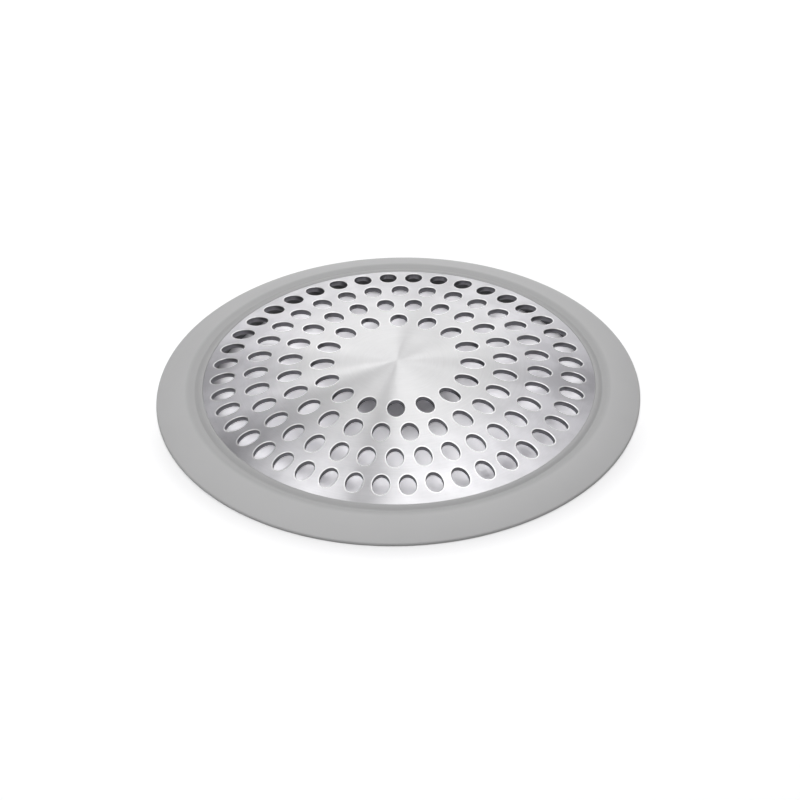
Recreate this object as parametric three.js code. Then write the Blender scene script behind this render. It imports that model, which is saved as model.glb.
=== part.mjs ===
// Bathtub drain protector: a shallow dome of perforated sheet steel whose edge sits in the groove of a soft
// silicone rim. Millimetres, +Z up; the origin is on the tub floor, under the middle of the dome.
import * as THREE from "three";
import { mergeVertices } from "three/addons/utils/BufferGeometryUtils.js";

// Steel dome: plan radius, rise and edge height of the sphere it is pressed on, thickness, and the step of its
// plain edge down from that sphere, so that the rim's lip lies over the edge without standing up from the dome
const DOME_RADIUS = 49.2;
const DOME_RISE = 7.33;
const DOME_EDGE_HEIGHT = 3.26;
const SHEET_THICKNESS = 1.25;
const EDGE_SET_DOWN = 0.35;

// Perforation: rings of oval holes, each hole longer along the radius than across it
const HOLES_PER_RING = [16, 24, 32, 42];
const HOLE_WIDTH = 4.1;
const RING_LAND = 2.25;
const BLANK_CENTRE_RADIUS = 14.85;
const PLAIN_MARGIN = 5.0;

// Silicone rim: how it grips the dome, then its bead, crease, apron and foot
const GROOVE_CLEARANCE = 0.15;
const UPPER_LIP = 3.0;
const LIP_STANDOFF = 0.77;
const LIP_EDGE = 0.12;
const BEAD_WIDTH = 1.8;
const BEAD_COVER = 0.5;
const CREASE_WIDTH = 1.6;
const CREASE_COVER = 0.2;
const SHOULDER_COVER = 1.0;
const APRON_WIDTH = 7.95;
const APRON_CROWN = 0.28;
const EDGE_THICKNESS = 0.9;
const FOOT_FILLET = 0.5;

// Facets round the axis, round one hole, and along one curve of a profile
const ROUND_FACETS = 84;
const HOLE_FACETS = 14;
const CURVE_FACETS = 5;

// The dome's outer face is part of a sphere, so every height on it follows from the radius there.
const sphereRadius = (DOME_RADIUS ** 2 + DOME_RISE ** 2) / (2 * DOME_RISE);
const sphereCentre = DOME_EDGE_HEIGHT + DOME_RISE - sphereRadius;

// The rings of holes and the lands between them share out the perforated zone.
const ringCount = HOLES_PER_RING.length;
const zoneWidth = DOME_RADIUS - PLAIN_MARGIN - BLANK_CENTRE_RADIUS;
const holeLength = (zoneWidth - RING_LAND * (ringCount - 1)) / ringCount;
const ringPitch = holeLength + RING_LAND;
const firstRingRadius = BLANK_CENTRE_RADIUS + holeLength / 2;

// The plain edge steps down between the perforated zone and the rim's lip.
const stepStart = DOME_RADIUS - PLAIN_MARGIN + RING_LAND / 2;
const stepEnd = DOME_RADIUS - UPPER_LIP;

/** How far the sheet lies below the dome's sphere at a radius from the axis. */
function setDown(radius) {
  return EDGE_SET_DOWN * THREE.MathUtils.smoothstep(radius, stepStart, stepEnd);
}

/** Height at a radius on the roof of the rim's groove, which follows the sheet. */
function roofHeight(radius) {
  const roof = sphereRadius + GROOVE_CLEARANCE;
  return sphereCentre + Math.sqrt(roof ** 2 - radius ** 2) - setDown(radius);
}

/** Point of the flat sheet at a radius and a turn, a fraction of the circle counted from +Y. */
function pointAt(radius, turn) {
  const angle = Math.PI / 2 + 2 * Math.PI * turn;
  return new THREE.Vector2(radius * Math.cos(angle), radius * Math.sin(angle));
}

/** Evenly spaced turns, all moved on by a share of one step. */
function evenTurns(count, shift = 0) {
  return Array.from({ length: count }, (_, i) => (i + shift) / count);
}

/** The turns of two sorted lists together, each of them once. */
function joinTurns(first, second) {
  const all = [...first, ...second].sort((a, b) => a - b);
  return all.filter((turn, i) => i === 0 || turn - all[i - 1] > 1e-6);
}

/** The part of a circle between two turns, both included, going round anticlockwise. */
function arcPoints(circle, from, to) {
  const whole = [...circle.turns, ...circle.turns.map((turn) => turn + 1)];
  const inside = whole.filter((turn) => turn > from - 1e-6 && turn < to + 1e-6);
  return circle.radius > 0 ? inside.map((turn) => pointAt(circle.radius, turn)) : [new THREE.Vector2()];
}

/** Outline of one hole, its long axis along the radius. */
function holeOutline(radius, turn) {
  const middle = pointAt(radius, turn);
  const oval = new THREE.EllipseCurve(middle.x, middle.y, holeLength / 2, HOLE_WIDTH / 2, 0, 2 * Math.PI);
  oval.aRotation = middle.angle();
  return oval.getPoints(HOLE_FACETS).slice(1);
}

/** Bands of the sheet from the middle outwards: the turns at which their sectors meet, and their holes. */
function sheetBands() {
  const blankEdge = firstRingRadius - ringPitch / 2;
  const coarse = HOLES_PER_RING[0];
  const bands = [
    { outer: blankEdge / 2, seams: evenTurns(coarse) },
    { outer: blankEdge, seams: evenTurns(2 * coarse) },
  ];
  HOLES_PER_RING.forEach((count, ring) => {
    const stagger = (ring % 2) / 2;
    bands.push({
      outer: blankEdge + (ring + 1) * ringPitch,
      seams: evenTurns(count, 0.5 - stagger),
      ringRadius: firstRingRadius + ring * ringPitch,
    });
  });
  bands.push({ outer: stepEnd, seams: evenTurns(ROUND_FACETS) });
  bands.push({ outer: DOME_RADIUS, seams: evenTurns(ROUND_FACETS) });
  return bands;
}

/** Corner of the pressed sheet: plan radii stay on the outer face and the thickness turns square to it. */
function press(point, depth) {
  const reach = 1 - depth / sphereRadius;
  const height = sphereCentre + reach * Math.sqrt(sphereRadius ** 2 - point.lengthSq());
  return new THREE.Vector3(point.x * reach, point.y * reach, height - setDown(point.length()));
}

/** Wall through the sheet along a closed outline, facing to the right of its direction. */
function wallCorners(outline) {
  return outline.flatMap((point, i) => {
    const next = outline[(i + 1) % outline.length];
    const [a, b] = [press(point, 0), press(next, 0)];
    const [c, d] = [press(next, SHEET_THICKNESS), press(point, SHEET_THICKNESS)];
    return [a, d, c, a, c, b];
  });
}

/** The two faces of one sector of the sheet, with its hole left out, and the wall of that hole. */
function sectorCorners(contour, hole) {
  const holes = hole ? [hole.reverse()] : [];
  const points = [...contour, ...holes.flat()];
  const faces = THREE.ShapeUtils.triangulateShape(contour, holes);
  const outside = faces.flat().map((i) => press(points[i], 0));
  const inside = faces.flatMap(([a, b, c]) => [c, b, a]).map((i) => press(points[i], SHEET_THICKNESS));
  return [...outside, ...inside, ...holes.flatMap(wallCorners)];
}

/** The perforated dome: every band of the flat sheet, sector by sector, pressed on the sphere. */
function domeGeometry() {
  const bands = sheetBands();
  const corners = [];
  let inner = { radius: 0, turns: [] };
  bands.forEach((band, i) => {
    const beyond = bands[i + 1] ?? band;
    const outer = { radius: band.outer, turns: joinTurns(band.seams, beyond.seams) };
    band.seams.forEach((seam, k) => {
      const nextSeam = band.seams[k + 1] ?? band.seams[0] + 1;
      const contour = [...arcPoints(outer, seam, nextSeam), ...arcPoints(inner, seam, nextSeam).reverse()];
      const hole = band.ringRadius && holeOutline(band.ringRadius, (seam + nextSeam) / 2);
      corners.push(...sectorCorners(contour, hole));
    });
    inner = outer;
  });
  corners.push(...wallCorners(inner.turns.map((turn) => pointAt(inner.radius, turn))));
  const welded = mergeVertices(new THREE.BufferGeometry().setFromPoints(corners), 1e-3);
  welded.computeVertexNormals();
  return welded;
}

/** Points along the rim's groove, on a face that follows the sheet at a depth below its outer face. */
function grooveFace(depth, radii) {
  const corners = radii.map((radius) => press(new THREE.Vector2(radius, 0), depth));
  return corners.map((corner) => new THREE.Vector2(corner.x, corner.z));
}

/** The rim: foot, rounded outer edge, crowned apron, crease, bead and groove, turned about the axis. */
function rimGeometry() {
  const grooveEnd = DOME_RADIUS + GROOVE_CLEARANCE;
  const grooveStart = DOME_RADIUS - PLAIN_MARGIN + LIP_STANDOFF;
  const grooveDepth = SHEET_THICKNESS + GROOVE_CLEARANCE;
  const grooveRoof = grooveFace(-GROOVE_CLEARANCE, [stepEnd, grooveEnd]);
  const grooveFloor = grooveFace(grooveDepth, [grooveEnd, stepEnd, stepStart, grooveStart]);
  const footInner = grooveFloor.at(-1).x;
  const beadMiddle = stepEnd + BEAD_WIDTH / 2;
  const creaseRadius = stepEnd + BEAD_WIDTH;
  const shoulderRadius = creaseRadius + CREASE_WIDTH;
  const edgeRound = EDGE_THICKNESS / 2;
  const edgeCentre = DOME_RADIUS + APRON_WIDTH - edgeRound;

  const lipEnd = new THREE.Vector2(stepEnd, roofHeight(stepEnd) + LIP_EDGE);
  const beadPeak = new THREE.Vector2(beadMiddle, roofHeight(beadMiddle) + 2 * BEAD_COVER);
  const crease = new THREE.Vector2(creaseRadius, roofHeight(creaseRadius) + CREASE_COVER);
  const shoulder = new THREE.Vector2(shoulderRadius, roofHeight(shoulderRadius) + SHOULDER_COVER);

  const edge = new THREE.EllipseCurve(edgeCentre, edgeRound, edgeRound, edgeRound, -Math.PI / 2, Math.PI / 3);
  const edgePoints = edge.getPoints(CURVE_FACETS);
  const apronFoot = edgePoints[CURVE_FACETS];
  const apronMiddle = apronFoot.clone().lerp(shoulder, 0.5).add(new THREE.Vector2(0, APRON_CROWN));
  const apron = new THREE.SplineCurve([apronFoot, apronMiddle, shoulder]);
  const bead = new THREE.QuadraticBezierCurve(crease, beadPeak, lipEnd);

  const outline = [
    ...edgePoints,
    ...apron.getPoints(CURVE_FACETS).slice(1),
    ...bead.getPoints(CURVE_FACETS),
    ...grooveRoof,
    ...grooveFloor,
    new THREE.Vector2(footInner, FOOT_FILLET),
    new THREE.Vector2(footInner + FOOT_FILLET, 0),
    edgePoints[0],
  ];
  return new THREE.LatheGeometry(outline, ROUND_FACETS).rotateX(Math.PI / 2);
}

const strainerDome = new THREE.Mesh(
  domeGeometry(),
  new THREE.MeshStandardMaterial({ color: 0xcdcccb, metalness: 1.0, roughness: 0.3 }),
);
strainerDome.name = "strainer_dome";

const siliconeRim = new THREE.Mesh(
  rimGeometry(),
  new THREE.MeshStandardMaterial({ color: 0xa9aaaa, metalness: 0.0, roughness: 0.65 }),
);
siliconeRim.name = "silicone_rim";

const drainProtector = new THREE.Group();
drainProtector.name = "bathtub_drain_protector";
drainProtector.add(strainerDome, siliconeRim);

export default drainProtector;
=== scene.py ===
"""Bathtub drain protector: a perforated dome of brushed steel in a soft grey silicone rim, on a white floor.

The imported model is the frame. Both of its pieces are rebuilt here with finer meshes in the same place,
dressed, and lit by soft boxes. Lengths are in metres with +Z up; the finishes and the floor's paint count
in millimetres.
"""

import logging
import math
from collections.abc import Sequence
from dataclasses import dataclass
from enum import Enum
from typing import Any, NamedTuple

import bmesh
import bpy
from mathutils import Matrix, Vector

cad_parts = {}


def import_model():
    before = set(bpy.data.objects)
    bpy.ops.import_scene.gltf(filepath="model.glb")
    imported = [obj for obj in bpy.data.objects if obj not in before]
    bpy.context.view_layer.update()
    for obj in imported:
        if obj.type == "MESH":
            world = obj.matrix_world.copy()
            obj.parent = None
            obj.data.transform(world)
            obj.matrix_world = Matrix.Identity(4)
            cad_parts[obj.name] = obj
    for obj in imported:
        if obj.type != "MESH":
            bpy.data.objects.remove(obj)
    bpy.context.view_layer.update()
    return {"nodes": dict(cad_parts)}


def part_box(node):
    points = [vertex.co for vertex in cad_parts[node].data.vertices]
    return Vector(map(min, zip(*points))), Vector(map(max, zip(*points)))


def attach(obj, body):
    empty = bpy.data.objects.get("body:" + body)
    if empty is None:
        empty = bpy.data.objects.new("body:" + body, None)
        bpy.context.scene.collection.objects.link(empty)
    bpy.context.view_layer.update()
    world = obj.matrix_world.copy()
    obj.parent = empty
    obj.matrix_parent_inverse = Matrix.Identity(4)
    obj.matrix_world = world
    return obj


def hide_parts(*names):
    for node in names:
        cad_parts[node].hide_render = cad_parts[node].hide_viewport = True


LOG = logging.getLogger("drain_protector")
MM = 0.001
BODY = "root"

Colour = tuple[float, float, float, float]
Loop = list[bmesh.types.BMVert]
Point = tuple[float, float]


class Node(Enum):
    """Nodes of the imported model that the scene's pieces stand for."""

    DOME = "strainer_dome"
    RIM = "silicone_rim"


class Slot(Enum):
    """Material slots of the record."""

    STEEL = "steel"
    SILICONE = "silicone"


class Mark(Enum):
    """Attributes that tell the steel's finish where it is on a hole."""

    PUNCHED = "punched_wall"
    # How deep in the hole: blends the two tones of painted shade on the wall
    DEPTH = "depth_in_hole"
    # Marks the rolled edge and a ring beside it for the painted highlight
    EDGE_HIGHLIGHT = "painted_edge_highlight"


class Ease(Enum):
    """How a ramp goes from its start to its end."""

    STRAIGHT = "LINEAR"
    SOFT = "SMOOTHSTEP"


class Blend(Enum):
    """How a second colour goes over a first one."""

    COVER = "MIX"
    TINT = "MULTIPLY"


class Value:
    """A number in a node tree that takes part in Python arithmetic."""

    def __init__(self, tree: "TreeBuilder", socket: bpy.types.NodeSocket) -> None:
        """Wraps a socket of a tree."""
        self.tree = tree
        self.socket = socket

    def _math(self, operation: str, first: "Value | float", second: "Value | float") -> "Value":
        """Adds one Math node.

        Args:
            operation: Blender's name of the operation.
            first: The first operand.
            second: The second operand.

        Returns:
            The node's result.
        """
        return self.tree.value("ShaderNodeMath", {"operation": operation}, {0: first, 1: second})

    def __add__(self, other: "Value | float") -> "Value":
        """Sum."""
        return self._math("ADD", self, other)

    def __radd__(self, other: float) -> "Value":
        """Sum with a number on the left."""
        return self._math("ADD", other, self)

    def __sub__(self, other: "Value | float") -> "Value":
        """Difference."""
        return self._math("SUBTRACT", self, other)

    def __rsub__(self, other: float) -> "Value":
        """Difference with a number on the left."""
        return self._math("SUBTRACT", other, self)

    def __mul__(self, other: "Value | float") -> "Value":
        """Product."""
        return self._math("MULTIPLY", self, other)

    def __rmul__(self, other: float) -> "Value":
        """Product with a number on the left."""
        return self._math("MULTIPLY", other, self)

    def __truediv__(self, other: "Value | float") -> "Value":
        """Quotient."""
        return self._math("DIVIDE", self, other)

    def __rtruediv__(self, other: float) -> "Value":
        """Quotient with a number on the left."""
        return self._math("DIVIDE", other, self)

    def __pow__(self, other: float) -> "Value":
        """Power."""
        return self._math("POWER", self, other)

    def __lt__(self, other: "Value | float") -> "Value":
        """1 where it is the smaller one, 0 elsewhere."""
        return self._math("LESS_THAN", self, other)


Paint = Colour | bpy.types.NodeSocket | Value


class Polar(NamedTuple):
    """Distance from the axis in millimetres, and the two parts of the direction away from it."""

    radius: Value
    along_x: Value
    along_y: Value


class TreeBuilder:
    """A shader or geometry tree under construction."""

    # Added to the squared radius, so that the direction away from the axis is defined on it too
    AXIS_GUARD = 1e-4

    def __init__(self, tree: bpy.types.NodeTree) -> None:
        """Empties the tree, ready for its nodes."""
        self.tree = tree
        self.tree.nodes.clear()

    def node(
        self,
        kind: str,
        settings: dict[str, Any] | None = None,
        inputs: dict[str | int, Any] | None = None,
    ) -> bpy.types.Node:
        """Adds one node.

        Args:
            kind: The node's type.
            settings: Properties of the node, set before its sockets.
            inputs: Values, sockets or wrapped values for its inputs, by name or index.

        Returns:
            The new node.
        """
        made = self.tree.nodes.new(kind)
        for name, setting in (settings or {}).items():
            setattr(made, name, setting)
        for key, given in (inputs or {}).items():
            given = given.socket if isinstance(given, Value) else given
            if isinstance(given, bpy.types.NodeSocket):
                self.tree.links.new(given, made.inputs[key])
            else:
                made.inputs[key].default_value = given
        return made

    def value(
        self,
        kind: str,
        settings: dict[str, Any] | None = None,
        inputs: dict[str | int, Any] | None = None,
        output: str | int = 0,
    ) -> Value:
        """Adds one node and wraps one of its outputs.

        Args:
            kind: The node's type.
            settings: Properties of the node.
            inputs: Values or links for its inputs.
            output: Name or index of the output.

        Returns:
            The wrapped output.
        """
        return Value(self, self.node(kind, settings, inputs).outputs[output])

    def mix(
        self,
        factor: Value | float,
        first: Paint,
        second: Paint,
        blend: Blend = Blend.COVER,
    ) -> bpy.types.NodeSocket:
        """Mixes two colours.

        Args:
            factor: Share of the second colour.
            first: The first colour.
            second: The second colour.
            blend: How the second colour goes over the first.

        Returns:
            The socket of the mixed colour.
        """
        settings = {"data_type": "RGBA", "blend_type": blend.value}
        made = self.node("ShaderNodeMix", settings, {"Factor": factor, "A": first, "B": second})
        return made.outputs["Result"]

    def noise(self, place: bpy.types.NodeSocket, scale: float, **shape: float) -> Value:
        """Adds a noise texture.

        Args:
            place: Socket of the coordinates that it reads.
            scale: Its scale.
            **shape: Its other inputs, by name.

        Returns:
            The noise, about a half.
        """
        return self.value("ShaderNodeTexNoise", None, {"Vector": place, "Scale": scale, **shape}, "Fac")

    def ramp(
        self,
        value: Value,
        start: float,
        end: float,
        low: float = 0.0,
        high: float = 1.0,
        ease: Ease = Ease.STRAIGHT,
    ) -> Value:
        """Maps a range of a value to another.

        Args:
            value: The value.
            start: Where the ramp starts.
            end: Where it ends.
            low: Result up to the start.
            high: Result from the end on.
            ease: How it goes from the one to the other.

        Returns:
            The mapped value.
        """
        sizes = {"Value": value, "From Min": start, "From Max": end, "To Min": low, "To Max": high}
        return self.value("ShaderNodeMapRange", {"interpolation_type": ease.value}, sizes)

    def place(self) -> bpy.types.NodeSocket:
        """Coordinates on the object."""
        return self.node("ShaderNodeTexCoord").outputs["Object"]

    def polar(self) -> Polar:
        """Place on the object, about its axis.

        Returns:
            The distance from the axis and the direction away from it.
        """
        parts = self.node("ShaderNodeSeparateXYZ", None, {"Vector": self.place()})
        x = Value(self, parts.outputs["X"]) / MM
        y = Value(self, parts.outputs["Y"]) / MM
        radius = (x * x + y * y + self.AXIS_GUARD) ** 0.5
        return Polar(radius, x / radius, y / radius)


def start_material(name: str) -> tuple[bpy.types.Material, TreeBuilder]:
    """Starts a material with an empty tree.

    Args:
        name: Name of the material.

    Returns:
        The material and the builder of its tree.
    """
    made = bpy.data.materials.new(name)
    made.use_nodes = True
    return made, TreeBuilder(made.node_tree)


@dataclass(frozen=True)
class BrushedSteel:
    """Sheet steel brushed in circles about the middle of the dome, with a painted lavender tint of reflected
    light towards the rim, strongest at the sides.
    """

    dull: Colour = (0.452, 0.451, 0.454, 1.0)
    bright: Colour = (0.536, 0.535, 0.538, 1.0)
    roughness: float = 0.3
    roughness_swing: float = 0.08
    # Brighter steel on the rolled edge of each hole and a narrow ring beside it: painted highlight round the
    # holes
    edge_highlight: Colour = (0.68, 0.68, 0.68, 1.0)
    # Darker steel on the hole walls, darkest at the top: painted shade inside the holes
    upper_wall_painted_shade: Colour = (0.338, 0.333, 0.355, 1.0)
    lower_wall_painted_shade: Colour = (0.498, 0.491, 0.522, 1.0)
    wall_roughness: float = 0.3
    anisotropy: float = 1.0
    across_grooves: float = 0.25
    grooves_per_mm: float = 5.0
    groove_run: float = 2.5
    groove_detail: float = 3.0
    groove_grit: float = 0.6
    groove_depth: float = 0.03
    groove_bump: float = 0.2
    smear_size: float = 7.0
    smear_detail: float = 4.0
    smear_share: float = 0.45
    # Painted lavender tint of reflected light towards the rim, stronger at the sides; the smears there are
    # random tone
    painted_tint: Colour = (0.996, 0.986, 1.026, 1.0)
    painted_tint_start: float = 18.0
    painted_tint_end: float = 38.0
    painted_tint_front: float = 0.45
    painted_tint_sides: float = 0.55
    smears_in_tint_zone: float = 2.0

    def material(self) -> bpy.types.Material:
        """Builds the finish.

        Returns:
            The new material.
        """
        made, shader = start_material("brushed_steel")
        polar = shader.polar()
        punched, depth, edge_highlight = (
            shader.value("ShaderNodeAttribute", {"attribute_name": mark.value}, None, "Fac") for mark in Mark
        )
        grooves = self._grooves(shader, polar)
        face = shader.mix(edge_highlight, self._tint(shader, polar, grooves), self.edge_highlight)
        # Painted shade inside the hole, darker at the top of the wall
        wall = shader.mix(depth, self.upper_wall_painted_shade, self.lower_wall_painted_shade)
        bump = shader.node(
            "ShaderNodeBump",
            None,
            {"Strength": self.groove_bump, "Distance": self.groove_depth * MM, "Height": grooves},
        )
        brushed = shader.node(
            "ShaderNodeBsdfPrincipled",
            None,
            {
                "Base Color": face,
                "Metallic": 1.0,
                "Roughness": self.roughness + self.roughness_swing * (grooves - 0.5),
                "Anisotropic": self.anisotropy,
                "Anisotropic Rotation": self.across_grooves,
                "Normal": bump.outputs["Normal"],
            },
        )
        sheared = shader.node(
            "ShaderNodeBsdfPrincipled",
            None,
            {
                "Base Color": shader.mix(edge_highlight, wall, self.edge_highlight),
                "Metallic": 1.0,
                "Roughness": self.wall_roughness,
            },
        )
        steel = shader.node(
            "ShaderNodeMixShader",
            None,
            {"Fac": punched, 1: brushed.outputs["BSDF"], 2: sheared.outputs["BSDF"]},
        )
        shader.node("ShaderNodeOutputMaterial", None, {"Surface": steel.outputs["Shader"]})
        return made

    def _grooves(self, shader: TreeBuilder, polar: Polar) -> Value:
        """Fine grooves of the brush, long round the axis and narrow across.

        Args:
            shader: The tree that they go into.
            polar: Place on the dome.

        Returns:
            Their height, about a half.
        """
        radius, along_x, along_y = polar
        unrolled = shader.node(
            "ShaderNodeCombineXYZ",
            None,
            {
                "X": radius * self.grooves_per_mm,
                "Y": along_x * self.groove_run,
                "Z": along_y * self.groove_run,
            },
        )
        return shader.noise(unrolled.outputs[0], 1.0, Detail=self.groove_detail, Roughness=self.groove_grit)

    def _tint(self, shader: TreeBuilder, polar: Polar, grooves: Value) -> bpy.types.NodeSocket:
        """Colour of the brushed face: dull and bright grooves and smears, with a painted lavender tint of
        reflected light towards the rim.

        Args:
            shader: The tree that it goes into.
            polar: Place on the dome.
            grooves: Height of the grooves.

        Returns:
            The socket of the colour.
        """
        smears = shader.noise(shader.place(), 1.0 / (self.smear_size * MM), Detail=self.smear_detail)
        # Painted reflection tint: grows towards the rim and towards the left and right sides
        outward = shader.ramp(polar.radius, self.painted_tint_start, self.painted_tint_end, ease=Ease.SOFT)
        painted_tint = outward * (self.painted_tint_front + self.painted_tint_sides * polar.along_x * polar.along_x)
        smeared = (self.smear_share + self.smears_in_tint_zone * painted_tint) * (2.0 * smears - 1.0)
        brushing = shader.mix(grooves + smeared, self.dull, self.bright)
        return shader.mix(painted_tint, brushing, self.painted_tint, Blend.TINT)


@dataclass(frozen=True)
class MattSilicone:
    """Moulded grey silicone with a fine matt grain, and painted shade that darkens it inside the shoulder,
    over the steel.
    """

    dark: Colour = (0.412, 0.412, 0.412, 1.0)
    light: Colour = (0.452, 0.452, 0.452, 1.0)
    # Painted shade: darker silicone inside the shoulder's radius, fading out across the shoulder
    bead_painted_shade: float = 0.79
    bead_shade_radius: float = 49.9
    bead_shade_blend: float = 0.7
    shine: float = 0.3
    roughness: float = 0.5
    roughness_swing: float = 0.12
    grains_per_mm: float = 4.0
    grain_detail: float = 2.0
    grain_share: float = 0.3
    grain_depth: float = 0.02
    grain_bump: float = 0.25
    cloud_size: float = 9.0
    cloud_detail: float = 3.0

    def material(self) -> bpy.types.Material:
        """Builds the finish.

        Returns:
            The new material.
        """
        made, shader = start_material("matt_silicone")
        place = shader.place()
        grain = shader.noise(place, self.grains_per_mm / MM, Detail=self.grain_detail)
        cloud = shader.noise(place, 1.0 / (self.cloud_size * MM), Detail=self.cloud_detail)
        mottle = (1.0 - self.grain_share) * cloud + self.grain_share * grain
        colour = shader.mix(mottle, self.dark, self.light)
        start, end = self.bead_shade_radius - self.bead_shade_blend, self.bead_shade_radius + self.bead_shade_blend
        # Painted shade on the bead, crease and the parts under the dome, fading out across the shoulder
        seat = shader.ramp(shader.polar().radius, start, end, low=self.bead_painted_shade, ease=Ease.SOFT)
        bump = shader.node(
            "ShaderNodeBump",
            None,
            {"Strength": self.grain_bump, "Distance": self.grain_depth * MM, "Height": grain},
        )
        silicone = shader.node(
            "ShaderNodeBsdfPrincipled",
            None,
            {
                "Base Color": shader.mix(1.0, colour, seat, Blend.TINT),
                "Specular IOR Level": self.shine,
                "Roughness": self.roughness + self.roughness_swing * (cloud - 0.5),
                "Normal": bump.outputs["Normal"],
            },
        )
        shader.node("ShaderNodeOutputMaterial", None, {"Surface": silicone.outputs["BSDF"]})
        return made


def turn_of(vert: bmesh.types.BMVert) -> float:
    """Angle of a corner about the axis, from 0 to a full turn."""
    return math.atan2(vert.co.y, vert.co.x) % math.tau


def even_steps(start: float, end: float, count: int) -> list[float]:
    """Values in even steps from a start to an end, both included."""
    return [start + (end - start) * step / count for step in range(count + 1)]


class Skin:
    """A mesh of closed loops about the axis, joined one to the next."""

    def __init__(self) -> None:
        """Starts with no corners."""
        self.mesh = bmesh.new()

    def circle(self, radius: float, height: float, count: int) -> Loop:
        """Adds a round of corners.

        Args:
            radius: Distance from the axis; 0 gives a single corner.
            height: Place along the axis.
            count: Number of corners.

        Returns:
            The corners, anticlockwise from above.
        """
        steps = count if radius > 0 else 1
        turns = [math.tau * step / steps for step in range(steps)]
        return self.loop(turns, [(radius, height)] * steps)

    def loop(self, turns: Sequence[float], points: Sequence[Point]) -> Loop:
        """Adds a loop of corners.

        Args:
            turns: The corners' angles about the axis, rising.
            points: Distance from the axis and height of each corner.

        Returns:
            The corners, anticlockwise from above.
        """
        corners = []
        for turn, (radius, height) in zip(turns, points):
            place = (radius * math.cos(turn), radius * math.sin(turn), height)
            corners.append(self.mesh.verts.new(place))
        return corners

    def bridge(self, first: Loop, second: Loop) -> None:
        """Joins two loops of any counts, facing to the left of the way from the first to the second.

        Args:
            first: One loop, sorted by its angle.
            second: The next loop along the section, sorted by its angle.
        """
        i = j = 0
        while min(ahead := (self._ahead(first, i), self._ahead(second, j))) < math.inf:
            here, there = first[i % len(first)], second[j % len(second)]
            if ahead[0] <= ahead[1]:
                i += 1
                self.mesh.faces.new((here, there, first[i % len(first)]))
            else:
                j += 1
                self.mesh.faces.new((here, there, second[j % len(second)]))

    @staticmethod
    def _ahead(loop: Loop, index: int) -> float:
        """Angle of the corner after an index.

        Args:
            loop: A loop, sorted by its angle.
            index: Steps that are done.

        Returns:
            The angle, past a full turn at the end, and infinity once the loop is done or for a single corner.
        """
        if len(loop) == 1 or index == len(loop):
            return math.inf
        wrapped = math.tau if index == len(loop) - 1 else 0.0
        return turn_of(loop[(index + 1) % len(loop)]) + wrapped

    def bridge_all(self, loops: Sequence[Loop]) -> None:
        """Joins each loop to the next."""
        for first, second in zip(loops, loops[1:]):
            self.bridge(first, second)

    def finish(self, name: str, material: bpy.types.Material) -> bpy.types.Object:
        """Turns the skin into a smooth object at the origin.

        Args:
            name: Name of the object.
            material: Its finish.

        Returns:
            The new object, linked to the scene.
        """
        mesh = bpy.data.meshes.new(name)
        for face in self.mesh.faces:
            face.smooth = True
        self.mesh.to_mesh(mesh)
        self.mesh.free()
        mesh.materials.append(material)
        made = bpy.data.objects.new(name, mesh)
        bpy.context.scene.collection.objects.link(made)
        return made


@dataclass(frozen=True)
class PressedSheet:
    """The form that the steel sheet is pressed on: a sphere whose plain edge is bent down under the rim."""

    edge_radius: float
    crown_height: float
    rise: float = 7.33 * MM
    thickness: float = 1.25 * MM
    set_down: float = 0.3 * MM
    bend_start: float = 47.0 * MM
    bend_end: float = 47.7 * MM
    bend_steps: int = 8

    @property
    def sphere(self) -> float:
        """Radius of the sheet's outer face."""
        return (self.edge_radius**2 + self.rise**2) / (2 * self.rise)

    @property
    def centre(self) -> float:
        """Height of the sphere's centre."""
        return self.crown_height - self.sphere

    @property
    def bend_radii(self) -> list[float]:
        """Radii through the bend, from its start to its end."""
        return even_steps(self.bend_start, self.bend_end, self.bend_steps)

    def drop(self, radius: float) -> float:
        """How far the bent edge lies below the sphere at a radius on the outer face."""
        share = (radius - self.bend_start) / (self.bend_end - self.bend_start)
        return self.set_down * min(max(share, 0.0), 1.0) ** 2

    def press(self, flat: Vector) -> Vector:
        """Moves a corner of the flat sheet, whose outer face is at height 0, onto the sphere.

        Args:
            flat: The corner before pressing.

        Returns:
            Its place on the dome, with the thickness square to the sheet.
        """
        reach = 1 + flat.z / self.sphere
        radius = flat.xy.length
        height = self.centre + reach * math.sqrt(self.sphere**2 - radius**2) - self.drop(radius)
        return Vector((flat.x * reach, flat.y * reach, height))

    def section(self, radius: float, lift: float = 0.0) -> Point:
        """Point of a face that follows the sheet.

        Args:
            radius: Distance from the axis, on the outer face.
            lift: How far the face lies outside the outer face.

        Returns:
            The point's distance from the axis and its height above the floor.
        """
        place = self.press(Vector((radius, 0.0, lift)))
        return place.x, place.z


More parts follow.
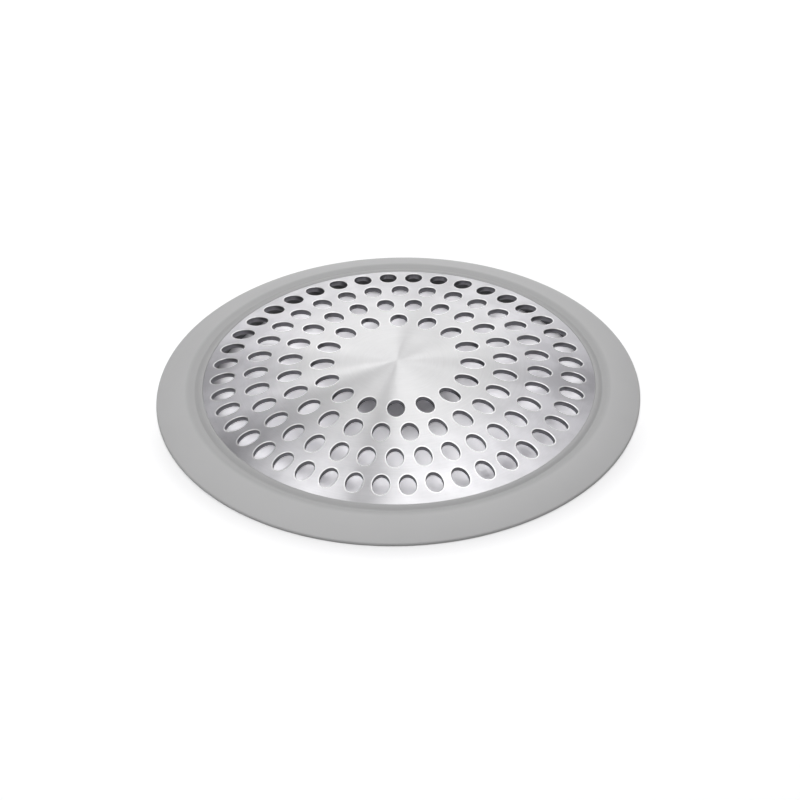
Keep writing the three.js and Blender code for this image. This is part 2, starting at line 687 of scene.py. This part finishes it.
class RingTree:
    """Geometry Nodes that repeat one sector of the sheet round the axis."""

    WELD_DISTANCE = 0.001 * MM
    INPUTS = {
        "Count": "NodeSocketInt",
        "Start Angle": "NodeSocketFloat",
        "Weld Distance": "NodeSocketFloat",
        "Finish": "NodeSocketMaterial",
    }

    def __init__(self) -> None:
        """Builds the tree and its named inputs."""
        self.group = bpy.data.node_groups.new("perforated_ring", "GeometryNodeTree")
        face = self.group.interface
        face.new_socket("Sector", in_out="INPUT", socket_type="NodeSocketGeometry")
        self.identifiers = {
            name: face.new_socket(name, in_out="INPUT", socket_type=kind).identifier
            for name, kind in self.INPUTS.items()
        }
        face.new_socket("Ring", in_out="OUTPUT", socket_type="NodeSocketGeometry")
        build = TreeBuilder(self.group)
        given = build.node("NodeGroupInput").outputs
        points = build.node("GeometryNodePoints", None, {"Count": given["Count"]})
        step = math.tau / Value(build, given["Count"])
        angle = step * build.value("GeometryNodeInputIndex") + Value(build, given["Start Angle"])
        turn = build.node("ShaderNodeCombineXYZ", None, {"Z": angle})
        rotation = build.node("FunctionNodeEulerToRotation", None, {"Euler": turn.outputs[0]})
        copies = build.node(
            "GeometryNodeInstanceOnPoints",
            None,
            {"Points": points.outputs[0], "Instance": given["Sector"], "Rotation": rotation.outputs[0]},
        )
        real = build.node("GeometryNodeRealizeInstances", None, {"Geometry": copies.outputs[0]})
        welded = build.node(
            "GeometryNodeMergeByDistance",
            None,
            {"Geometry": real.outputs[0], "Distance": given["Weld Distance"]},
        )
        dressed = build.node(
            "GeometryNodeSetMaterial",
            None,
            {"Geometry": welded.outputs[0], "Material": given["Finish"]},
        )
        build.node("NodeGroupOutput", None, {"Ring": dressed.outputs[0]})

    def repeat(
        self,
        sector: bpy.types.Mesh,
        count: int,
        start: float,
        material: bpy.types.Material,
    ) -> bpy.types.Mesh:
        """Repeats one sector round the axis.

        Args:
            sector: The sector's mesh, about +X.
            count: Number of copies.
            start: Angle of the first copy.
            material: Finish of the ring.

        Returns:
            The welded ring as a plain mesh.
        """
        holder = bpy.data.objects.new(sector.name, sector)
        bpy.context.scene.collection.objects.link(holder)
        modifier = holder.modifiers.new("repeat", "NODES")
        modifier.node_group = self.group
        sizes = {"Count": count, "Start Angle": start, "Weld Distance": self.WELD_DISTANCE}
        for name, given in {**sizes, "Finish": material}.items():
            modifier[self.identifiers[name]] = given
        ready = holder.evaluated_get(bpy.context.evaluated_depsgraph_get())
        ring = bpy.data.meshes.new_from_object(ready)
        holder.modifiers.remove(modifier)
        bpy.data.objects.remove(holder)
        return ring


@dataclass(frozen=True)
class SectorRow:
    """One row of corners round a hole, with the marks from 0 to 1 that the steel's finish reads there."""

    corners: list[Vector]
    punched: float = 0.0
    depth: float = 0.0
    edge_highlight: float = 0.0


@dataclass
class StrainerDome:
    """The perforated dome: rings of oval holes round a blank middle, with a plain margin under the rim."""

    sheet: PressedSheet
    steel: BrushedSteel
    holes_per_ring: tuple[int, ...] = (16, 24, 32, 42)
    hole_width: float = 4.0 * MM
    ring_land: float = 2.25 * MM
    blank_radius: float = 14.85 * MM
    plain_margin: float = 5.0 * MM
    rolled_edge: float = 0.15 * MM
    roll_steps: int = 4
    edge_support: float = 0.12 * MM
    burr_edge: float = 0.08 * MM
    burr_bite: float = 0.3
    seam_strip: float = 0.2 * MM
    bend_strip: float = 0.06 * MM
    arc_steps: int = 12
    side_steps: int = 9
    blank_steps: int = 8
    plain_steps: int = 4
    plain_corners: int = 168

    @property
    def hole_length(self) -> float:
        """Length of a hole along the radius.

        Returns:
            What the lands leave of the perforated zone, shared out among the rings.
        """
        rings = len(self.holes_per_ring)
        zone = self.sheet.edge_radius - self.plain_margin - self.blank_radius
        return (zone - self.ring_land * (rings - 1)) / rings

    @property
    def ring_pitch(self) -> float:
        """Distance between the rings of holes."""
        return self.hole_length + self.ring_land

    def ring_radius(self, ring: int) -> float:
        """Distance of a ring's holes from the axis."""
        return self.blank_radius + self.hole_length / 2 + ring * self.ring_pitch

    def band(self, ring: int) -> Point:
        """Inner and outer radius of the band of sheet round a ring of holes."""
        half = (self.ring_pitch - self.seam_strip) / 2
        return self.ring_radius(ring) - half, self.ring_radius(ring) + half

    def build(self) -> bpy.types.Object:
        """Makes the dome.

        Returns:
            The dome as one closed piece.
        """
        material = self.steel.material()
        tree = RingTree()
        skin = Skin()
        for ring, count in enumerate(self.holes_per_ring):
            start = math.pi / 2 + (ring % 2) * math.pi / count
            mesh = tree.repeat(self._sector(ring), count, start, material)
            skin.mesh.from_mesh(mesh)
            bpy.data.meshes.remove(mesh)
            LOG.info("ring of %d holes, %.2f mm long", count, self.hole_length / MM)
        rings = [self._open_loops(skin, ring) for ring in range(len(self.holes_per_ring))]
        blank_top, blank_under = self._blank_loops(skin)
        above, below = blank_top[-1], blank_under[-1]
        for inner_top, outer_top, inner_under, outer_under in rings:
            skin.bridge(above, inner_top)
            skin.bridge(inner_under, below)
            above, below = outer_top, outer_under
        skin.bridge_all([above, *self._margin_loops(skin), below])
        skin.bridge_all(blank_top)
        skin.bridge_all(blank_under[::-1])
        for vert in skin.mesh.verts:
            vert.co = self.sheet.press(vert.co)
        return skin.finish("perforated_dome", material)

    def _blank_loops(self, skin: Skin) -> tuple[list[Loop], list[Loop]]:
        """Loops of the blank middle.

        Args:
            skin: Where the loops are added.

        Returns:
            The loops on the outer and on the inner face, from the axis outwards.
        """
        radii = even_steps(0.0, self.band(0)[0] - self.seam_strip, self.blank_steps)
        top = [skin.circle(radius, 0.0, self.plain_corners) for radius in radii]
        under = [skin.circle(radius, -self.sheet.thickness, self.plain_corners) for radius in radii]
        return top, under

    def _margin_loops(self, skin: Skin) -> list[Loop]:
        """Loops of the plain margin outside the rings of holes.

        Args:
            skin: Where the loops are added.

        Returns:
            The loops from the outer face over the edge to the inner face.
        """
        under = -self.sheet.thickness
        edge, soft = self.sheet.edge_radius, self.burr_edge
        start = self.band(len(self.holes_per_ring) - 1)[1] + self.seam_strip
        plain = even_steps(start, self.sheet.bend_start - self.bend_strip, self.plain_steps)
        radii = [*plain, *self.sheet.bend_radii, edge - soft]
        section = [(radius, 0.0) for radius in radii]
        section += [(edge, -soft), (edge, under + soft)]
        section += [(radius, under) for radius in reversed(radii)]
        return [skin.circle(radius, height, 2 * self.plain_corners) for radius, height in section]

    def _open_loops(self, skin: Skin, ring: int) -> tuple[Loop, Loop, Loop, Loop]:
        """Open edges of a ring that was just added.

        Args:
            skin: The skin that holds it.
            ring: Number of the ring.

        Returns:
            Its inner and outer loops on the outer face, then its inner and outer loops on the inner face.
        """
        low, high = self.band(ring)
        slack = self.seam_strip / 4
        middle = -self.sheet.thickness / 2
        loops: tuple[Loop, Loop, Loop, Loop] = ([], [], [], [])
        for vert in skin.mesh.verts:
            reach = vert.co.xy.length
            if vert.is_boundary and low - slack < reach < high + slack:
                index = (0 if vert.co.z > middle else 2) + (1 if reach > self.ring_radius(ring) else 0)
                loops[index].append(vert)
        for loop in loops:
            loop.sort(key=turn_of)
        return loops

    def _outline(self, ring: int) -> list[Vector]:
        """Outline of one flat sector about +X.

        Args:
            ring: Number of the ring.

        Returns:
            Its corners, anticlockwise from the start of the outer arc.
        """
        low, high = self.band(ring)
        half = math.pi / self.holes_per_ring[ring]
        arc = even_steps(-half, half, self.arc_steps)
        side = even_steps(high, low, self.side_steps)
        polar = [(high, turn) for turn in arc[:-1]]
        polar += [(radius, half) for radius in side[:-1]]
        polar += [(low, -turn) for turn in arc[:-1]]
        polar += [(radius, -half) for radius in reversed(side[1:])]
        return [Vector((radius * math.cos(turn), radius * math.sin(turn), 0.0)) for radius, turn in polar]

    def _oval(self, ring: int, grown: float, height: float) -> list[Vector]:
        """Corners on the oval of a hole about +X, one towards each corner of its sector.

        Args:
            ring: Number of the ring.
            grown: How much wider the oval is than the hole, on each side.
            height: Height of the corners.

        Returns:
            The corners, in the order of the sector's outline.
        """
        middle = self.ring_radius(ring)
        long, wide = self.hole_length / 2, self.hole_width / 2
        corners = []
        for point in self._outline(ring):
            turn = math.atan2(point.y / wide, (point.x - middle) / long)
            along, across = (long + grown) * math.cos(turn), (wide + grown) * math.sin(turn)
            corners.append(Vector((middle + along, across, height)))
        return corners

    def _rows(self, ring: int) -> list[SectorRow]:
        """Rows of a sector: over its outer face, the hole's rolled edge, wall and burr, and its inner face.

        Args:
            ring: Number of the ring.

        Returns:
            The rows, each with as many corners as the outline.
        """
        outline = self._outline(ring)
        thickness, roll, burr = self.sheet.thickness, self.rolled_edge, self.burr_edge
        bite = self.burr_bite * burr
        around = self._oval(ring, roll + 2 * self.edge_support, 0.0)
        between = [(first + second) / 2 for first, second in zip(outline, around)]
        beside = self._oval(ring, roll + self.edge_support, 0.0)
        # The ring beside the roll and the upper half of the roll carry the painted highlight
        rows = [SectorRow(outline), SectorRow(between), SectorRow(around), SectorRow(beside, edge_highlight=1.0)]
        for step, turn in enumerate(even_steps(0.0, math.pi / 2, self.roll_steps)):
            rounded = self._oval(ring, roll * (1 - math.sin(turn)), -roll * (1 - math.cos(turn)))
            edge_highlight = 1.0 if 2 * step <= self.roll_steps else 0.0
            rows.append(SectorRow(rounded, punched=1.0, edge_highlight=edge_highlight))
        for grown, lift in ((0.0, burr), (bite, bite), (burr, 0.0)):
            rows.append(SectorRow(self._oval(ring, grown, lift - thickness), punched=1.0, depth=1.0))
        below = [point - Vector((0.0, 0.0, thickness)) for point in outline]
        return [*rows, SectorRow(below, depth=1.0)]

    def _sector(self, ring: int) -> bpy.types.Mesh:
        """One flat sector of the sheet: both faces, and a hole with a rolled edge above and a burr below.

        Args:
            ring: Number of the ring.

        Returns:
            The sector's mesh, open along its outline.
        """
        rows = self._rows(ring)
        size = len(rows[0].corners)
        faces = []
        for row in range(len(rows) - 1):
            for step in range(size):
                here, there = row * size + step, row * size + (step + 1) % size
                faces.append((here, there, there + size, here + size))
        mesh = bpy.data.meshes.new(f"sector_{ring}")
        mesh.from_pydata([tuple(corner) for row in rows for corner in row.corners], [], faces)
        marks = {
            Mark.PUNCHED: [row.punched for row in rows],
            Mark.DEPTH: [row.depth for row in rows],
            Mark.EDGE_HIGHLIGHT: [row.edge_highlight for row in rows],
        }
        for mark, values in marks.items():
            spread = [value for value in values for _ in range(size)]
            mesh.attributes.new(mark.value, "FLOAT", "POINT").data.foreach_set("value", spread)
        return mesh


@dataclass
class SiliconeRim:
    """The moulded rim: a flat foot, a sloped apron, a crease, a bead and the groove that grips the dome.

    The soft lip has slipped a little off the dome's middle, to the right and to the front, and the foot to
    the right; the outer edge and the end of the groove are true rounds.
    """

    sheet: PressedSheet
    silicone: MattSilicone
    edge_radius: float
    edge_round: float = 0.6 * MM
    edge_turn: float = 60.0
    edge_height: float = 0.22 * MM
    edge_corner: float = 0.07 * MM
    groove_start: float = 45.47 * MM
    foot_fillet: float = 0.5 * MM
    fillet_bite: float = 0.3
    seat_gap: float = 0.02 * MM
    lip_radius: float = 46.25 * MM
    slip_right: float = 0.28 * MM
    slip_front: float = 0.6 * MM
    foot_slip: float = 0.5 * MM
    bead_width: float = 1.8 * MM
    bead_height: float = 0.16 * MM
    crease_width: float = 1.6 * MM
    crease_lift: float = 0.28 * MM
    shoulder_lift: float = 0.95 * MM
    apron_crown: float = 0.28 * MM
    corners: int = 336
    curve_steps: int = 12

    @property
    def shares(self) -> list[float]:
        """Shares along a curve, from 0 to the last one short of 1."""
        return even_steps(0.0, 1.0, self.curve_steps)[:-1]

    @property
    def shoulder(self) -> Point:
        """Where the crease ends and the apron starts, as radius and height."""
        radius = self.lip_radius + self.bead_width + self.crease_width
        return radius, self.sheet.section(radius)[1] + self.shoulder_lift

    def section(self, turn: float) -> list[Point]:
        """Closed section of the rim, from the lip over the bead and apron to the foot and the groove.

        Args:
            turn: Angle about the axis.

        Returns:
            Points as radius and height.
        """
        edge = self._edge()
        return [*self._bead(turn), *self._apron(edge[0]), *edge, *self._foot(turn)]

    def _bead(self, turn: float) -> list[Point]:
        """Bead from the lip to the crease, and the eased rise from there to the shoulder.

        Args:
            turn: Angle about the axis.

        Returns:
            Points as radius and height.
        """
        slip = self.slip_right * math.cos(turn) - self.slip_front * math.sin(turn)
        lip = self.lip_radius + slip
        crease = self.lip_radius + self.bead_width + slip / 2
        shoulder, high = self.shoulder
        seat = self.sheet.section(lip)[1] + self.seat_gap
        low = self.sheet.section(crease)[1] + self.crease_lift
        points = []
        for share in self.shares:
            bulge = self.bead_height * math.sin(math.pi * share)
            points.append((lip + (crease - lip) * share, seat + (low - seat) * share + bulge))
        for share in self.shares:
            eased = share * share * (3 - 2 * share)
            points.append((crease + (shoulder - crease) * share, low + (high - low) * eased))
        return points

    def _apron(self, foot: Point) -> list[Point]:
        """Slightly crowned slope from the shoulder to the outer edge.

        Args:
            foot: The edge's first point.

        Returns:
            Points as radius and height.
        """
        radius, high = self.shoulder
        points = []
        for share in self.shares:
            crown = 4 * self.apron_crown * share * (1 - share)
            points.append((radius + (foot[0] - radius) * share, high + (foot[1] - high) * share + crown))
        return points

    def _edge(self) -> list[Point]:
        """Rounded outer edge, down to a small corner on the floor.

        Returns:
            Points as radius and height.
        """
        middle = self.edge_radius - self.edge_round
        points = []
        for angle in even_steps(math.radians(self.edge_turn), 0.0, self.curve_steps):
            lift = self.edge_height + self.edge_round * math.sin(angle)
            points.append((middle + self.edge_round * math.cos(angle), lift))
        return [*points, (self.edge_radius, self.edge_corner), (self.edge_radius - self.edge_corner, 0.0)]

    def _foot(self, turn: float) -> list[Point]:
        """Inner end of the foot, and the groove, whose floor and roof follow the sheet.

        Args:
            turn: Angle about the axis.

        Returns:
            Points as radius and height.
        """
        sheet, gap, fillet = self.sheet, self.seat_gap, self.foot_fillet
        below = -sheet.thickness - gap
        end = sheet.edge_radius + gap
        start = self.groove_start + self.foot_slip * math.cos(turn)
        inner, bite = sheet.section(start, below)[0], self.fillet_bite * fillet
        points = [(inner + fillet, 0.0), (inner + bite, bite), (inner, fillet)]
        points += [sheet.section(radius, below) for radius in (start, *sheet.bend_radii, end)]
        points += [sheet.section(radius, gap) for radius in (end, *reversed(sheet.bend_radii))]
        return points

    def build(self) -> bpy.types.Object:
        """Makes the rim.

        Returns:
            The rim as one closed piece.
        """
        skin = Skin()
        turns = [math.tau * step / self.corners for step in range(self.corners)]
        loops = [skin.loop(turns, points) for points in zip(*(self.section(turn) for turn in turns))]
        skin.bridge_all([*loops, loops[0]])
        return skin.finish("grey_rim", self.silicone.material())


@dataclass(frozen=True)
class Softbox:
    """One soft box of the studio, aimed at the object, with its angles in degrees."""

    name: str
    azimuth: float
    elevation: float
    width: float
    height: float
    radiance: float
    distance: float = 1.2

    def build(self) -> None:
        """Hangs the light."""
        light = bpy.data.lights.new(self.name, "AREA")
        light.shape = "RECTANGLE"
        light.size = self.width
        light.size_y = self.height
        light.energy = self.radiance * math.pi * self.width * self.height
        made = bpy.data.objects.new(self.name, light)
        turn, lift = math.radians(self.azimuth), math.radians(self.elevation)
        away = Vector((math.cos(turn) * math.cos(lift), math.sin(turn) * math.cos(lift), math.sin(lift)))
        made.location = away * self.distance
        made.rotation_euler = away.to_track_quat("Z", "Y").to_euler()
        bpy.context.scene.collection.objects.link(made)


@dataclass
class Studio:
    """White floor, soft light and the camera at the photograph's view.

    The floor's radii are in millimetres and all angles in degrees. Under the dome the floor carries painted
    light, a painted lavender tint and painted shade towards the rim on the side away from the light. A
    painted soft shadow lies in front of the rim.
    """

    floor_size: float = 4.0
    floor_bounce: float = 0.45
    floor_seen: float = 0.97
    # Under the dome: painted light for the camera, a painted lavender tint, darker levels for reflections and
    # bounced light, and painted shade towards the rim
    covered_radius: float = 53.0
    covered_bounce: float = 0.25
    covered_shine: float = 0.7
    covered_painted_light: float = 1.82
    covered_painted_tint: tuple[float, float, float] = (1.0, 0.994, 1.018)
    painted_shade_start: float = 39.0
    painted_shade_end: float = 46.0
    painted_shade_depth: float = 0.55
    lit_side: float = 45.0
    # Painted soft shadow on the floor in front of the rim
    painted_shadow_start: float = 57.0
    painted_shadow_end: float = 63.5
    painted_shadow_depth: float = 0.16
    painted_shadow_front: float = 0.5
    sky: Colour = (0.9, 0.85, 1.0, 1.0)
    sky_strength: float = 0.05
    softboxes: tuple[Softbox, ...] = (
        Softbox("right_back_box", azimuth=51.5, elevation=58.5, width=0.67, height=1.12, radiance=1.0),
        Softbox("left_box", azimuth=169.5, elevation=62.0, width=0.73, height=0.65, radiance=2.3),
        Softbox("front_strip", azimuth=277.0, elevation=60.0, width=0.15, height=0.74, radiance=1.35),
        Softbox("right_box", azimuth=3.5, elevation=78.0, width=1.8, height=0.68, radiance=1.7),
        Softbox("back_box", azimuth=92.5, elevation=30.0, width=0.52, height=0.54, radiance=2.5),
        Softbox("front_left_box", azimuth=214.5, elevation=67.5, width=0.97, height=0.55, radiance=2.15),
        Softbox("back_spot", azimuth=107.5, elevation=38.5, width=0.09, height=0.07, radiance=5.0),
        Softbox("back_right_spot", azimuth=71.5, elevation=27.5, width=0.12, height=0.24, radiance=0.55),
        Softbox("back_left_spot", azimuth=107.0, elevation=22.0, width=0.10, height=0.20, radiance=0.8),
        Softbox("back_low_spot", azimuth=77.0, elevation=20.5, width=0.14, height=0.14, radiance=1.2),
        Softbox("back_card", azimuth=81.5, elevation=9.5, width=0.84, height=0.43, radiance=0.55),
        Softbox("front_card", azimuth=270.0, elevation=20.0, width=0.9, height=0.5, radiance=1.0),
        Softbox("left_card", azimuth=185.0, elevation=18.0, width=0.9, height=0.45, radiance=1.0),
        Softbox("right_card", azimuth=355.0, elevation=18.0, width=0.9, height=0.45, radiance=1.0),
    )
    azimuth: float = 1.788
    elevation: float = 36.38
    roll: float = 1.254
    distance: float = 1036.25 * MM
    shift_right: float = 0.427 * MM
    shift_down: float = 0.850 * MM
    focal_px: float = 4381.0
    frame_px: float = 800.0
    film_mm: float = 36.0
    near_clip: float = 10.0 * MM

    def build(self) -> None:
        """Sets up floor, light and camera."""
        self._floor()
        self._sky()
        for softbox in self.softboxes:
            softbox.build()
        self._camera()
        bpy.context.scene.view_settings.view_transform = "Standard"

    def _floor(self) -> None:
        """Lays the white floor at height 0."""
        half = self.floor_size / 2
        mesh = bpy.data.meshes.new("white_floor")
        corners = [(-half, -half, 0.0), (half, -half, 0.0), (half, half, 0.0), (-half, half, 0.0)]
        mesh.from_pydata(corners, [], [(0, 1, 2, 3)])
        mesh.materials.append(self._paint())
        made = bpy.data.objects.new("white_floor", mesh)
        bpy.context.scene.collection.objects.link(made)

    def _paint(self) -> bpy.types.Material:
        """Floor paint, with its own level for the camera, for reflections and for bounced light.

        Returns:
            The new material.
        """
        made, shader = start_material("white_floor")
        rays = shader.node("ShaderNodeLightPath").outputs
        kinds = ("Is Camera Ray", "Is Glossy Ray", "Is Transmission Ray")
        camera, glossy, through = (Value(shader, rays[kind]) for kind in kinds)
        other = 1.0 - camera - glossy - through
        polar = shader.polar()
        covered = polar.radius < self.covered_radius
        open_floor = self._open_level(shader, polar) * (1.0 - other) + self.floor_bounce * other
        under = self._painted_covered_level(shader, polar) * camera
        under = under + self.covered_shine * (glossy + through) + self.covered_bounce * other
        white = open_floor + (under - open_floor) * covered
        # Painted lavender tint on the floor under the dome
        channels = [white * (1.0 + (share - 1.0) * covered) for share in self.covered_painted_tint]
        colour = shader.node("ShaderNodeCombineColor", None, dict(enumerate(channels)))
        paint = shader.node("ShaderNodeBsdfDiffuse", None, {"Color": colour.outputs["Color"]})
        shader.node("ShaderNodeOutputMaterial", None, {"Surface": paint.outputs["BSDF"]})
        return made

    def _open_level(self, shader: TreeBuilder, polar: Polar) -> Value:
        """Level of the open floor, with a painted soft shadow in front of the rim.

        Args:
            shader: The tree that it goes into.
            polar: Place on the floor.

        Returns:
            The level that is seen.
        """
        # Painted soft shadow: darker near the rim, fading with distance, only on the front side
        near = shader.ramp(polar.radius, self.painted_shadow_start, self.painted_shadow_end, self.painted_shadow_depth, 0.0)
        front = shader.ramp(polar.along_y, 0.0, -self.painted_shadow_front, ease=Ease.SOFT)
        return self.floor_seen * (1.0 - near * front)

    def _painted_covered_level(self, shader: TreeBuilder, polar: Polar) -> Value:
        """Level of the floor under the dome: painted light, with painted shade towards the rim on the side
        away from the light.

        Args:
            shader: The tree that it goes into.
            polar: Place on the floor.

        Returns:
            The level that is seen.
        """
        # Painted shade towards the rim, strongest on the side away from the light
        shade = shader.ramp(polar.radius, self.painted_shade_start, self.painted_shade_end, 0.0, self.painted_shade_depth)
        lit = math.radians(self.lit_side)
        away = 1.0 - math.cos(lit) * polar.along_x - math.sin(lit) * polar.along_y
        return self.covered_painted_light * (1.0 - shade * away)

    def _sky(self) -> None:
        """Fills the room with even light."""
        world = bpy.data.worlds.new("studio")
        world.use_nodes = True
        shader = TreeBuilder(world.node_tree)
        glow = shader.node("ShaderNodeBackground", None, {"Color": self.sky, "Strength": self.sky_strength})
        shader.node("ShaderNodeOutputWorld", None, {"Surface": glow.outputs["Background"]})
        bpy.context.scene.world = world

    def _camera(self) -> None:
        """Places the camera of the photograph."""
        lift, roll = math.radians(self.elevation), math.radians(self.roll)
        right = Vector((1.0, 0.0, 0.0))
        ahead = Vector((0.0, math.cos(lift), -math.sin(lift)))
        up = Vector((0.0, math.sin(lift), math.cos(lift)))
        place = right * self.shift_right - up * self.shift_down - ahead * self.distance
        across = right * math.cos(roll) - up * math.sin(roll)
        upwards = right * math.sin(roll) + up * math.cos(roll)
        axes = Matrix((across, upwards, -ahead)).transposed().to_4x4()
        turn = Matrix.Rotation(math.radians(self.azimuth), 4, "Z")
        lens = bpy.data.cameras.new("camera")
        lens.sensor_width = self.film_mm
        lens.lens = self.focal_px / self.frame_px * self.film_mm
        lens.clip_start = self.near_clip
        camera = bpy.data.objects.new("camera", lens)
        camera.matrix_world = turn @ Matrix.Translation(place) @ axes
        bpy.context.scene.collection.objects.link(camera)
        bpy.context.scene.camera = camera


def install(piece: bpy.types.Object, node: Node) -> None:
    """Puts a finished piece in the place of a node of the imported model.

    Args:
        piece: The finished piece.
        node: The node that it stands for.
    """
    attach(piece, BODY)
    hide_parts(node.value)
    LOG.info("%s stands for %s with %d faces", piece.name, node.value, len(piece.data.polygons))


def main() -> None:
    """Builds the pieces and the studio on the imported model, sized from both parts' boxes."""
    logging.basicConfig(level=logging.INFO, format="%(name)s: %(message)s")
    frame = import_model()
    LOG.info("frame of %d nodes", len(frame["nodes"]))
    dome_box, rim_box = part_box(Node.DOME.value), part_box(Node.RIM.value)
    sheet = PressedSheet(edge_radius=dome_box[1][0], crown_height=dome_box[1][2])
    dome = StrainerDome(sheet, BrushedSteel()).build()
    rim = SiliconeRim(sheet, MattSilicone(), edge_radius=rim_box[1][0]).build()
    install(dome, Node.DOME)
    install(rim, Node.RIM)
    Studio().build()


if __name__ == "__main__":
    main()
